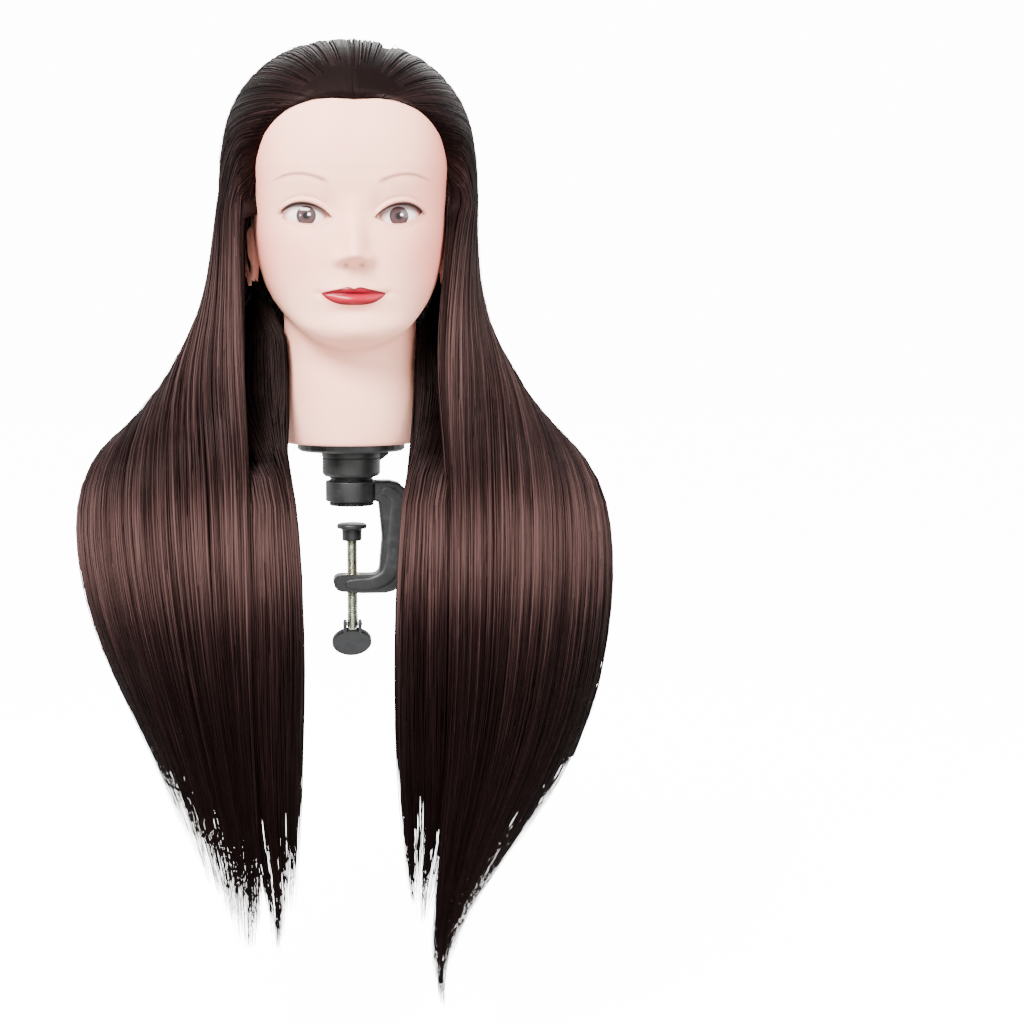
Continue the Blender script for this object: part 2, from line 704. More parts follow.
def shade_field(x, h):
    """Soft brown shading above the lids and under the nose, and the nostrils."""
    total = 0.0
    for side in (-1, 1):
        out, up = eye_frame(x, h, side)
        upper, _ = lid_lines(out)
        near = np.exp(-((out / 15) ** 4))
        total = total + 0.5 * near * np.exp(-(((up - upper - 1.2) / 2.2) ** 2)) * (up > upper - 0.5)
        total = total + 0.34 * hill(out, up, -EYE_HALF_WIDTH + 0.5, 0.5, 3.4, 5.0)
        total = total + 0.3 * hill(out, up, EYE_HALF_WIDTH - 1.0, 1.0, 3.4, 4.0)
        total = total + 0.75 * hill(x, h, side * 5.6, 130.2, 2.0, 1.1)
    total = total + 0.12 * hill(x, h, 4, 128.5, 11, 2.6) + 0.1 * hill(x, h, 8.5, 150, 3, 14)
    return np.clip(total, 0, 1)


def flush_field(x, y, h):
    """Pinker vinyl on the cheeks, the temples, the ears and under the chin."""
    total = sum(0.34 * hill(x, h, side * 44, 138, 20, 24) for side in (-1, 1))
    total = total + 0.45 * smoothstep(np.abs(x), 42, 70) + 0.2 * smoothstep(x, 30, 60)
    total = total + 0.25 * hill(x, h, 0, 76, 34, 9)
    total = total + 0.12 * hill(x, h, 0, 134, 10, 8) + 0.18 * smoothstep(-h, -12, 0)
    return np.clip(total + 0.3 * smoothstep(y, -40, 20), 0, 1)


def scalp_field(x, y, h):
    """The dark-tinted scalp under the hair, behind the hairline and down to the nape."""
    rise = np.maximum(h - HAIRLINE_FOOT, 0) / (HAIRLINE_RISE + 1)
    ring = round_radius(np.abs(x) / (HAIRLINE_HALF_WIDTH + 1), rise, HAIRLINE_POWER)
    crown = smoothstep(ring, 1.0, 1.03) * smoothstep(h, 178, 182)
    back = smoothstep(y, 20, 30) * smoothstep(h, 70, 76)
    temple = smoothstep(y, -40, -30) * smoothstep(h, 178, 184)
    return np.clip(crown + back + temple, 0, 1)


def head_rows():
    """Heights of the skin's rings, in mm, closest at the eyes and the mouth."""
    spacing = [(0, 4.0), (62, 1.4), (97, 0.7), (121, 1.0), (154, 0.6), (178, 1.0), (204, 2.6), (276, 1.2)]
    rows = [0.0, 0.6, 1.6, 3.2]
    while rows[-1] < 284.2:
        step = [gap for start, gap in spacing if rows[-1] >= start][-1]
        rows.append(rows[-1] + step)
    return rows[:-1] + [284.3, 284.9]


def make_skin():
    """The vinyl skin: face, scalp and neck, open at the neck's base and lined a little way up."""
    half = head_angles()
    angle = np.concatenate([half, -half[1:-1][::-1]])
    rings = []
    rows = [(h, 0.0) for h in head_rows()]
    lining = [(26.0, SKIN), (6.0, SKIN), (0.4, SKIN - 0.3 * MM)]
    for h, inset in lining + rows:
        radius, centre = head_ring(h * MM, angle)
        if h < 1.0 and not inset:
            radius = radius - (1.0 - h) * 0.9 * MM
        x = (radius - inset) * np.sin(angle)
        y = centre - (radius - inset) * np.cos(angle)
        facing = smoothstep(np.cos(angle), 0.1, 0.45)
        if not inset:
            y = y - face_relief(x / MM, np.full_like(x, h)) * facing * MM
        rings.append(np.stack([x, y, np.full_like(x, h * MM + NECK_BASE)], axis=1))
    points = np.concatenate(rings)
    x, y, h = (points[:, k] / MM for k in range(3))
    h = h - NECK_BASE / MM
    front = smoothstep(-y, 30, 50)
    face_x = x - FACE_MIDDLE
    lip = np.where(front > 0.5, lip_field(face_x, h), -60.0)
    fields = {
        "lip": lip,
        "seam": hill(face_x, h, 0, MOUTH_H - 0.5, 19, 0.7) * front,
        "brow": brow_field(face_x, h) * front,
        "lash": lash_field(face_x, h) * front,
        "shade": shade_field(face_x, h) * front,
        "flush": flush_field(face_x, y, h),
        "scalp": scalp_field(x, y, h),
    }
    faces = tube_faces(len(rings), len(angle), caps=(False, True))
    look = skin_look()
    skin = build_mesh("face_and_neck", points, faces, look, "head", ("head_skin",), fields)
    for side, name in ((1, "ear_left"), (-1, "ear_right")):
        make_ear(name, side, look)
    return skin


def make_core():
    """The rigid foam inside the skin, with the bore that takes the neck's socket."""
    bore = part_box("neck_socket")[1].x + 0.4 * MM
    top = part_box("neck_socket")[1].z - NECK_BASE + 0.6 * MM
    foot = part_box("neck_plate")[1].z - NECK_BASE + 0.6 * MM
    angle = np.linspace(0, 2 * np.pi, CORE_COLUMNS, endpoint=False)

    def ring(reach, centre, height):
        level = np.full(CORE_COLUMNS, height)
        return np.stack([reach * np.sin(angle), centre - reach * np.cos(angle), level], axis=1)

    rings = [ring(bore, 0.0, h) for h in (top, foot)]
    for h in [foot] + [height * MM for height in CORE_HEIGHTS]:
        reaches = [head_ring(h + step, angle)[0] for step in (-CORE_INSET, 0, CORE_INSET)]
        centre = head_ring(h, angle[:1])[1]
        rings.append(ring(np.min(reaches, axis=0) - CORE_INSET, centre, h))
    points = np.concatenate(rings)
    points[:, 2] += NECK_BASE
    faces = tube_faces(len(rings), CORE_COLUMNS)
    build_mesh("foam_core", points, faces, foam_look("core_foam"), "head", ("head_core",), sharp=50)


def head_angles():
    """Angles from the nose to the back of the head, closest over the face."""
    half = [0.0]
    while half[-1] < math.pi - 0.03:
        now = math.degrees(half[-1])
        half.append(half[-1] + math.radians(0.5 if now < 43 else 1.0 if now < 75 else 2.8))
    return np.array(half) * math.pi / half[-1]


def make_ear(name, side, look):
    """One moulded ear: a rolled rim round a hollow, with a lobe."""
    rings, turns = 22, 56
    turn = np.linspace(0, 2 * np.pi, turns, endpoint=False)
    points, hollow = [], []
    for i in range(2 * rings + 1):
        part = i / rings if i <= rings else 2 - i / rings
        part = max(part, 0.02)
        front = i <= rings
        along = np.sin(turn)
        wide = EAR_HALF_SIZE[1] * (0.82 + 0.2 * along - 0.1 * along**2)
        y = EAR_CENTRE[1] + part * wide * np.cos(turn) + 3.0 * along
        h = EAR_CENTRE[2] + part * EAR_HALF_SIZE[2] * along
        rim = 4.4 * np.exp(-(((part - 0.84) / 0.13) ** 2))
        rim = rim * smoothstep(along + 0.25 * np.cos(turn), -0.95, -0.3)
        inner = 2.4 * np.exp(-(((part - 0.5) / 0.12) ** 2)) * smoothstep(np.cos(turn), -0.3, 0.5)
        lobe = 3.0 * hill(part * np.cos(turn), part * along, 0, -0.78, 0.6, 0.35)
        flap = 2.6 * hill(part * np.cos(turn), part * along, -0.5, -0.12, 0.18, 0.2)
        bowl = -1.5 * np.exp(-((part / 0.4) ** 2))
        out = rim + inner + lobe + flap + bowl + 1.5 if front else np.full_like(turn, -2.5)
        swing = 0.24 * (y - EAR_CENTRE[1])
        x = EAR_CENTRE[0] + out + swing + 1.2
        points.append(np.stack([side * x * MM, y * MM, h * MM + NECK_BASE], axis=1))
        hollow.append(np.clip(-out / 3 + 0.6, 0, 1) if front else np.zeros_like(turn))
    points = np.concatenate(points)
    count = len(points)
    plain = (("lip", -60.0), ("seam", 0.0), ("brow", 0.0), ("lash", 0.0))
    fields = {key: np.full(count, value) for key, value in plain}
    fields["shade"] = np.concatenate(hollow) * 0.25
    fields["flush"] = np.full(count, 0.3)
    build_mesh(name, points, tube_faces(2 * rings + 1, turns), look, "head", (), fields)


def make_eye(name, side, look, node):
    """A wide doll's eye set behind the lids, looking straight ahead."""
    rows, turns = 40, 72
    yaw = side * EYE_YAW
    centre = np.array((side * EYE_X + FACE_MIDDLE, EYE_Y, EYE_H - 0.6))
    points = []
    for i in range(rows + 1):
        tilt = math.pi * i / rows
        for j in range(turns):
            turn = 2 * math.pi * j / turns
            round_x, round_z = math.sin(tilt) * math.cos(turn), math.sin(tilt) * math.sin(turn)
            ball = np.array((round_x, -math.cos(tilt), round_z)) * EYE_HALF_SIZE
            x = ball[0] * math.cos(yaw) - ball[1] * math.sin(yaw)
            y = ball[0] * math.sin(yaw) + ball[1] * math.cos(yaw)
            points.append((centre[0] + x, centre[1] + y, centre[2] + ball[2]))
    points = np.array(points)
    across = points[:, 0] - centre[0]
    up = points[:, 2] - (EYE_H - 0.8)
    behind = points[:, 1] > centre[1]
    out = np.hypot(across, up) + np.where(behind, 40.0, 0.0)
    lift, _ = lid_lines(across * side)
    lid = smoothstep(up + 0.8 - EYE_SLANT * across * side, lift - 4.2, lift)
    fields = {
        "iris": out,
        "spoke": np.arctan2(up, across) * 3.0,
        "lid_shadow": lid,
        "glint": np.hypot(across - 2.0, up - 1.0),
    }
    points[:, 2] += NECK_BASE / MM
    faces = tube_faces(rows + 1, turns)
    build_mesh(name, points * MM, faces, look, "head", (node,), fields)


def make_lashes():
    """Short dark lashes along both upper lids."""
    look = Look("lash_fibre", Roughness=0.5)
    shade = look.noise(look.place(), 500.0, 2.0)
    look.set("Base Color", look.mix(shade, tone(38, 22, 22), tone(70, 44, 42)))
    points, faces = [], []
    for side in (-1, 1):
        for k in range(LASHES):
            out = -13.5 + 30.5 * k / (LASHES - 1)
            upper, _ = lid_lines(np.array(out))
            x = side * (EYE_X + out) + FACE_MIDDLE
            h = EYE_H + EYE_SLANT * out + float(upper) + 0.2
            ring, centre = head_ring(h * MM, np.array([math.atan2(x, 80.0)]))
            plain_y = math.sqrt(max((ring[0] / MM) ** 2 - x * x, 0)) - centre / MM
            y = -plain_y - float(face_relief(np.array([x]), np.array([h]))[0])
            length = 2.2 + 1.6 * k / (LASHES - 1) + rng.uniform(-0.3, 0.3)
            lean = (0.15 + 0.75 * k / (LASHES - 1)) * side
            start = len(points)
            for step in range(4):
                part = step / 3
                px = x + lean * length * part
                py = y - length * (0.75 * part)
                pz = h + length * (0.55 * part + 0.35 * part * part) * (1 - 0.5 * k / (LASHES - 1))
                wide = 0.16 * (1 - 0.85 * part)
                for corner in range(3):
                    turn = 2 * math.pi * corner / 3
                    points.append((px + wide * math.cos(turn), py, pz + wide * math.sin(turn)))
            faces += [tuple(start + v for v in face) for face in tube_faces(4, 3)]
    build_mesh("lashes", on_head(points), faces, look.material, "head")


# Hair


def smooth_table(table, heights):
    """A table's rows at other heights, on smooth curves through its own rows."""
    rows = np.array(table, dtype=float)[::-1]
    at, values = rows[:, 0], rows[:, 1:]
    index = np.clip(np.searchsorted(at, heights) - 1, 0, len(at) - 2)
    gap = (at[index + 1] - at[index])[:, None]
    part = ((heights - at[index]) / gap[:, 0])[:, None]
    return hermite(values, np.gradient(values, at, axis=0), index, part, gap)


def panel_points(table, heights, along, depth, side):
    """Points on a hanging lock and the directions out of it.

    heights, along (0 at the front edge, 1 at the back) and depth (1 outside, -1 inside) are
    arrays of one shape.
    """
    shape = heights.shape
    values = smooth_table(table, np.clip(heights.ravel(), table[-1][0], table[0][0]))
    half, x0, y0, x1, y1, bulge = values.T
    s = along.ravel()
    chord = np.stack((x1 - x0, y1 - y0), axis=1)
    length = np.linalg.norm(chord, axis=1)
    out = np.stack((chord[:, 1], -chord[:, 0]), axis=1) / length[:, None]
    line = np.stack((x0, y0), axis=1) + chord * s[:, None] + out * (bulge * 4 * s * (1 - s))[:, None]
    tangent = chord + out * (bulge * 4 * (1 - 2 * s))[:, None]
    tangent /= np.linalg.norm(tangent, axis=1, keepdims=True)
    normal = np.stack((tangent[:, 1], -tangent[:, 0]), axis=1)
    thick = half * (0.35 + 0.65 * np.sin(np.pi * np.clip(s, 0, 1)) ** 0.6)
    at = line + normal * (thick * depth.ravel())[:, None]
    points = np.stack((side * at[:, 0], at[:, 1], heights.ravel()), axis=1)
    outward = np.stack((side * normal[:, 0], normal[:, 1], np.zeros(len(s))), axis=1)
    return points.reshape(*shape, 3), outward.reshape(*shape, 3)


def skull_front(x, h):
    """The skull's front surface, as y in mm, at places in mm."""
    lobe, front, _, half_width, _ = head_sections(h * MM)
    across = np.clip(np.abs(x * MM) / half_width, 0, 0.999)
    return (lobe - front * (1 - across**FACE_POWER) ** (1 / FACE_POWER)) / MM


def hairline_points(along, side):
    """Roots on the hairline, from the temple (0) to the middle of the forehead (1)."""
    turn = np.clip(along, 0, 1) ** 0.62 * (math.pi / 2 + 0.01)
    across = np.cos(turn)
    x = HAIRLINE_HALF_WIDTH * np.sign(across) * np.abs(across) ** (2 / HAIRLINE_POWER)
    h = HAIRLINE_FOOT + HAIRLINE_RISE * np.sin(turn) ** (2 / HAIRLINE_POWER)
    h = h - 2.0 * np.exp(-((x / 6.0) ** 2))
    return np.stack((side * x, skull_front(x, h), h), axis=-1)


def cap_reach(y):
    """How far the hair's dome reaches from its middle, forwards where y is below 0, in mm."""
    return np.where(y < 0, SKULL_CENTRE / MM - CAP_FRONT, CAP_BACK - SKULL_CENTRE / MM)


def dome_points(start, end, part):
    """Points over the skull between two places, on the hair's outer dome, and the ways out of it.

    start and end are (n, 3); part is (n, k) from 0 to 1.
    """

    def sphere(point):
        y = point[:, 1] - SKULL_CENTRE / MM
        rise = np.maximum(point[:, 2] - CAP_BASE, 0) / (CAP_TOP - CAP_BASE)
        unit = np.stack((point[:, 0] / CAP_HALF_WIDTH, y / cap_reach(y), rise), axis=1)
        return unit / np.linalg.norm(unit, axis=1, keepdims=True)

    first, last = sphere(start), sphere(end)
    angle = np.arccos(np.clip((first * last).sum(1), -1, 1))[:, None]
    angle = np.maximum(angle, 1e-3)
    share0 = np.sin((1 - part) * angle) / np.sin(angle)
    share1 = np.sin(part * angle) / np.sin(angle)
    unit = share0[..., None] * first[:, None] + share1[..., None] * last[:, None]
    flat = np.hypot(unit[..., 0], unit[..., 1])
    scale = (flat**DOME_POWER + np.abs(unit[..., 2]) ** DOME_POWER) ** (-1 / DOME_POWER)
    unit = unit * scale[..., None]
    reach = cap_reach(unit[..., 1])
    x = unit[..., 0] * CAP_HALF_WIDTH
    y = unit[..., 1] * reach + SKULL_CENTRE / MM
    h = unit[..., 2] * (CAP_TOP - CAP_BASE) + CAP_BASE
    low = start[:, 2, None] * (1 - part) + end[:, 2, None] * part
    h = np.where(low < CAP_BASE, np.maximum(h - (CAP_BASE - low), low), h)
    points = np.stack((x, y, h), axis=-1)
    steep = np.maximum(h - CAP_BASE, 0) / (CAP_TOP - CAP_BASE) ** 2
    out = np.stack((x / CAP_HALF_WIDTH**2, (y - SKULL_CENTRE / MM) / reach**2, steep), axis=-1)
    return points, out / np.linalg.norm(out, axis=-1, keepdims=True)


def fall_heights(top, ends, steps):
    """Heights down each hair, closest where the hair swells out over the shoulder."""
    count = int(steps * 0.58)
    swell = np.linspace(top, SHOULDER_END, count + 1)[None, :-1] + 0 * ends[:, None]
    rest = np.linspace(0, 1, steps - count)[None]
    return np.concatenate((swell, SHOULDER_END + (ends[:, None] - SHOULDER_END) * rest), axis=1)


def side_paths(table, side, along, depth, ends, steps_over, steps_down):
    """Paths of a side's hairs, from the hairline over the skull and down the panel to their ends.

    along and ends are (n,) or (n, steps_down) where a hair drifts; depth is (n,).
    """
    count = len(depth)
    drift = along if along.ndim == 2 else np.repeat(along[:, None], steps_down, axis=1)
    first = drift[:, 0]
    root = hairline_points(first, side) + np.array((side * 0.4, -0.7, 0.3))
    heights = fall_heights(PANEL_TOP - PANEL_OVERLAP, ends, steps_down)
    down, down_out = panel_points(table, heights, drift, np.repeat(depth[:, None], steps_down, axis=1), side)
    part = np.repeat(np.linspace(0, 1, steps_over + 1)[None, :-1], count, axis=0)
    target = down[:, 0].copy()
    over, over_out = dome_points(root, target, part)
    deep = (1 - depth)[:, None, None] * 6.0 * smoothstep(part, 0.0, 0.3)[..., None]
    over = over - over_out * deep
    length = np.linalg.norm(over[:, -1] - over[:, 0], axis=1) + 20
    rise = 1 - smoothstep(part * length[:, None], 0, 24)
    over = over + (root - over[:, 0])[:, None] * rise[..., None]
    path = np.concatenate((over, down), axis=1)
    out = np.concatenate((over_out, down_out), axis=1)
    for _ in range(5):
        path[:, 1:-1] = 0.25 * path[:, :-2] + 0.5 * path[:, 1:-1] + 0.25 * path[:, 2:]
    return path, out


def strands_mesh(name, path, out, width, tint, look, shift=0.0):
    """Thin three-sided hairs along paths, pointed at their ends, with the numbers their look reads."""
    count, steps, _ = path.shape
    tangent = np.gradient(path, axis=1)
    tangent /= np.linalg.norm(tangent, axis=2, keepdims=True)
    across = np.cross(tangent, out)
    across /= np.maximum(np.linalg.norm(across, axis=2, keepdims=True), 1e-6)
    out = np.cross(across, tangent)
    w = width[..., None]
    corners = [path - across * w / 2, path + across * w / 2, path + out * w * 0.22]
    points = np.stack(corners, axis=2).reshape(-1, 3)
    base = np.arange(count)[:, None] * steps * 3 + np.arange(steps - 1)[None] * 3
    quads = []
    for j in range(3):
        k = (j + 1) % 3
        quads.append(np.stack((base + j, base + k, base + 3 + k, base + 3 + j), axis=-1).reshape(-1, 4))
    ends = np.arange(count) * steps * 3
    last = ends + steps * 3
    caps = [np.stack((ends, ends + 2, ends + 1), axis=1), np.stack((last - 3, last - 2, last - 1), axis=1)]
    faces = np.concatenate(quads).tolist() + np.concatenate(caps).tolist()
    gaps = np.linalg.norm(np.diff(path, axis=1), axis=2)
    length = np.concatenate((np.zeros((count, 1)), np.cumsum(gaps, axis=1)), axis=1)
    middle = rng.uniform(0, 400, count)[:, None, None]
    spread = middle + width[..., None] * np.array((-0.5, 0.5, 0.0))
    fields = {
        "across": spread.ravel(),
        "along": np.repeat(length.ravel(), 3),
        "tint": np.repeat(np.repeat(tint[:, None], steps, axis=1).ravel(), 3),
        "root": np.repeat((np.zeros((count, steps)) + shift).ravel(), 3),
    }
    build_mesh(name, on_head(points), faces, look, "head", (), fields, turn=False)


def clumped(count, clumps, steps, tips, spread):
    """Places along the lock for each hair, which gathers with its neighbours into pointed tips.

    tips gives each clump's end height from its place along the lock.
    """
    centres = np.sort(rng.uniform(0.0, 1.0, clumps))
    home = rng.integers(0, clumps, count)
    start = np.clip(centres[home] + rng.normal(0, 0.5, count) / clumps * 1.3, 0.0, 1.0)
    gather = smoothstep(np.linspace(0, 1, steps), 0.62, 1.0)[None] * rng.uniform(0.2, 0.8, count)[:, None]
    along = start[:, None] * (1 - gather) + centres[home][:, None] * gather
    clump_end = tips(centres) + rng.uniform(0, 1, clumps) ** 1.5 * spread
    ends = clump_end[home] + rng.uniform(0, 1, count) ** 2 * spread * 0.8
    tint = np.clip(0.5 + 0.25 * rng.normal(size=clumps)[home] + 0.22 * rng.normal(size=count), 0, 1)
    return along, ends, tint


def taper(steps, wide):
    """Widths along each hair: thin at the root, full, then drawn to a point."""
    part = np.linspace(0, 1, steps)[None]
    size = wide[:, None] * (0.35 + 0.65 * smoothstep(part, 0, 0.05))
    return size * (1 - 0.93 * smoothstep(part, 0.72, 1.0))


def make_side_hair(name, table, side, look, strand_look, node):
    """One side's hair: a dark mass that fills it, and layers of hairs over both of its faces."""
    floor = table[-1][0]
    hair_mass(name + "_mass", table, side, look, node)
    steps_over, steps_down = 18, 26

    def tips(place):
        """Lowest at the front edge, shorter towards the back."""
        return np.interp(place, (0.0, 0.25, 0.6, 1.0), (floor, floor + 8, floor + 38, floor + 95))

    # hairs, clumps, range of depths (1 on the lock's outside, -1 on its inside) and width in mm
    groups = [
        ("outer", 1500, 170, (0.78, 1.1), 1.8),
        ("inner", 480, 90, (-1.1, -0.75), 2.0),
        ("loose", 560, 330, (-0.9, 1.3), 0.6),
    ]
    for label, count, clumps, depths, wide in groups:
        along, ends, tint = clumped(count, clumps, steps_down, tips, 58)
        depth = rng.uniform(*depths, count)
        path, out = side_paths(table, side, along, depth, ends, steps_over, steps_down)
        if label == "inner":
            out = -out
        path = path + sway(path)
        width = taper(steps_over + steps_down, wide * rng.uniform(0.7, 1.25, count))
        halves = 2 if count > 600 else 1
        for part in range(halves):
            pick = slice(part, None, halves)
            piece = f"{name}_{label}_{part + 1}" if halves > 1 else f"{name}_{label}"
            strands_mesh(piece, path[pick], out[pick], width[pick], tint[pick], strand_look)


def sway(path):
    """A slow sideways wander for each hair, so that no two lie quite parallel."""
    count, steps, _ = path.shape
    part = np.linspace(0, 1, steps)[None]
    total = np.zeros((count, steps, 3))
    for axis, reach in ((0, 1.4), (1, 0.8)):
        phase = rng.uniform(0, 6.28, (count, 1))
        pace = rng.uniform(3, 9, (count, 1))
        total[..., axis] = reach * np.sin(phase + pace * part) * smoothstep(part, 0.05, 0.4)
    return total


def hair_mass(name, table, side, look, node):
    """The closed dark volume inside one side's hair, from the hairline to short of the tips."""
    columns, steps_over, steps_down = 60, 26, 44
    along = np.linspace(0, 1, columns)
    ends = np.full(columns, MASS_END)
    sheets = []
    for depth in (0.35, -0.5):
        layer = np.full(columns, depth)
        sheets.append(side_paths(table, side, along, layer, ends, steps_over, steps_down)[0])
    outer, inner = sheets
    for i in range(steps_over):
        inner[:, i] = skull_cover(outer[:, i])
    fade = smoothstep(np.linspace(0, 1, steps_over + steps_down), 0.8, 1.0)[None, :, None]
    middle = (outer + inner) / 2
    outer = outer + (middle - outer) * fade * 0.9
    inner = inner + (middle - inner) * fade * 0.9
    rings = np.concatenate((outer, inner[::-1]), axis=0).transpose(1, 0, 2)
    volume_mesh(name, rings, along, (190, 800, 0.3, 0.5), look, node)


def volume_mesh(name, rings, along, paint, look, node):
    """A closed hair volume; its rings run over the outer face and back over the inner one.

    paint is the width and length that the streaks count, then the tint and how deep it lies.
    """
    rows, count, _ = rings.shape
    wide, long, tint, root = paint
    fields = {
        "across": np.tile(np.concatenate((along, along[::-1])) * wide, rows),
        "along": np.repeat(np.linspace(0, long, rows), count),
        "tint": np.full(rows * count, tint),
        "root": np.full(rows * count, root),
    }
    points = on_head(rings.reshape(-1, 3))
    build_mesh(name, points, tube_faces(rows, count), look, "head", (node,), fields)


def skull_cover(points):
    """Places on the skull just inside its skin, under places on the hair."""
    found = []
    for x, y, h in points:
        low = min(h, DOME_TOP / MM - 1)
        height = np.array(low * MM)
        lobe, front, back, half_width, _ = (float(v) for v in head_sections(height))
        reach = front if y * MM < lobe else back
        across, along = abs(x * MM / max(half_width, MM)), abs((y * MM - lobe) / max(reach, MM))
        norm = round_radius(across, along, FACE_POWER)
        scale = SKULL_COVER / max(norm, SKULL_COVER)
        found.append((x * scale, lobe / MM + (y - lobe / MM) * scale, low))
    return np.array(found)


def make_nape_hair(name, table, side, look, strand_look, node):
    """One side's hair from behind the ear and the nape, brought forward beside the neck."""
    columns, rows = 26, 46
    heights = np.linspace(table[0][0], MASS_END, rows)
    along = np.linspace(0, 1, columns)
    grid_h = np.repeat(heights[:, None], columns, axis=1)
    grid_s = np.repeat(along[None], rows, axis=0)
    fade = 1 - 0.85 * smoothstep(np.linspace(0, 1, rows), 0.8, 1.0)[:, None] * np.ones((1, columns))
    outer, inner = (panel_points(table, grid_h, grid_s, deep * fade, side)[0] for deep in (0.8, -0.8))
    rings = np.concatenate((outer, inner[:, ::-1]), axis=1)
    volume_mesh(name + "_mass", rings, along, (90, 500, 0.25, 0.8), look, node)
    hairs, steps = 800, 22
    floor = table[-1][0]

    def tips(place):
        return np.interp(place, (0.0, 0.5, 1.0), (floor + 30, floor, floor + 20))

    spots, ends, tint = clumped(hairs, 26, steps, tips, 52)
    heights = fall_heights(table[0][0], ends, steps)
    depth = np.where(rng.random(hairs) < 0.65, rng.uniform(0.8, 1.15, hairs), rng.uniform(-1.15, -0.8, hairs))
    path, out = panel_points(table, heights, spots, np.repeat(depth[:, None], steps, axis=1), side)
    out = out * np.sign(depth)[:, None, None]
    path = path + sway(path)
    width = taper(steps, 1.8 * rng.uniform(0.6, 1.2, hairs))
    shade = 0.1 + 0.85 * smoothstep(path[..., 2], -45, 10)
    strands_mesh(name + "_strands", path, out, width, tint * 0.8, strand_look, shade)


def make_hair():
    mass = hair_look("hair_depth", 0.3, (0.6, 0.75))
    strands = hair_look("hair_strand")
    make_side_hair("hair_left", LEFT_SIDE_HAIR, 1, mass, strands, "hair_side_left")
    make_side_hair("hair_right", RIGHT_SIDE_HAIR, -1, mass, strands, "hair_side_right")
    make_nape_hair("nape_left", LEFT_NAPE_HAIR, 1, mass, strands, "hair_nape_left")
    make_nape_hair("nape_right", RIGHT_NAPE_HAIR, -1, mass, strands, "hair_nape_right")
    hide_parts("hair_cap")


# Camera, light and stage


def aim_at(found, target):
    """Turns a camera or a lamp towards a place."""
    found.rotation_euler = (Vector(target) - found.location).to_track_quat("-Z", "Y").to_euler()


def make_camera():
    """From the photo's side: a little to the head's right and above, aimed between head and clamp."""
    camera = bpy.data.objects.new("camera", bpy.data.cameras.new("camera"))
    bpy.context.collection.objects.link(camera)
    camera.location = CAMERA_PLACE
    aim_at(camera, CAMERA_AIM)
    camera.data.lens = CAMERA_LENS
    camera.data.sensor_width = 36
    bpy.context.scene.camera = camera


def area_light(name, place, aim, size, power, colour=(1.0, 1.0, 1.0)):
    light = bpy.data.lights.new(name, "AREA")
    light.shape = "RECTANGLE"
    light.size, light.size_y = size
    light.energy = power
    light.color = colour
    lamp = bpy.data.objects.new(name, light)
    bpy.context.collection.objects.link(lamp)
    lamp.location = place
    aim_at(lamp, aim)


def make_stage():
    """A pale floor well below the tips, a soft surround and three soft boxes."""
    floor_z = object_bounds()[0][2] - FLOOR_DROP
    bpy.ops.mesh.primitive_plane_add(size=16, location=(0, 0, floor_z))
    floor = bpy.context.object
    floor.name = "floor"
    look = Look("floor_paper", Roughness=0.9, Specular_IOR_Level=0.1)
    grain = look.noise(look.place(), 30.0, 4.0)
    look.set("Base Color", look.mix(grain, tone(250, 250, 250), tone(255, 255, 255)))
    look.set("Emission Color", (1, 1, 1, 1))
    look.set("Emission Strength", SURROUND_SEEN * 0.7)
    floor.visible_diffuse = False
    floor.visible_glossy = False
    floor.data.materials.append(look.material)
    world = bpy.data.worlds.new("surround")
    world.use_nodes = True
    tree = world.node_tree
    light = tree.nodes["Background"]
    light.inputs["Strength"].default_value = SURROUND_LIGHT
    light.inputs["Color"].default_value = (1, 1, 1, 1)
    seen = tree.nodes.new("ShaderNodeBackground")
    seen.inputs["Strength"].default_value = SURROUND_SEEN
    path = tree.nodes.new("ShaderNodeLightPath")
    blend = tree.nodes.new("ShaderNodeMixShader")
    tree.links.new(path.outputs["Is Camera Ray"], blend.inputs[0])
    tree.links.new(light.outputs[0], blend.inputs[1])
    tree.links.new(seen.outputs[0], blend.inputs[2])
    tree.links.new(blend.outputs[0], tree.nodes["World Output"].inputs[0])
    bpy.context.scene.world = world
    area_light("key", (-0.8, -1.5, 1.5), (0, 0, 0.05), (1.0, 0.8), 190)
    area_light("fill", (1.5, -1.3, 0.6), (0, 0, 0.1), (1.0, 1.2), 26)
    area_light("back", (0.3, 1.6, 1.4), (0, 0, 0.1), (1.2, 1.0), 30)


# Clamp


def softened(corners, steps=4):
    """An outline whose corners, given as (radius, height, rounding) in mm, are rounded off."""
    found = []
    spots = [np.array(corner[:2], dtype=float) for corner in corners]
    for i, (_, _, rounding) in enumerate(corners):
        here, before, after = spots[i], spots[i - 1], spots[(i + 1) % len(spots)]
        back, ahead = before - here, after - here
        back_length, ahead_length = np.linalg.norm(back), np.linalg.norm(ahead)
        reach = min(rounding, back_length * 0.48, ahead_length * 0.48)
        if reach <= 0:
            found.append(here)
            continue
        start, end = here + back / back_length * reach, here + ahead / ahead_length * reach
        for k in range(steps + 1):
            part = k / steps
            found.append((1 - part) ** 2 * start + 2 * part * (1 - part) * here + part**2 * end)
    return np.array(found)


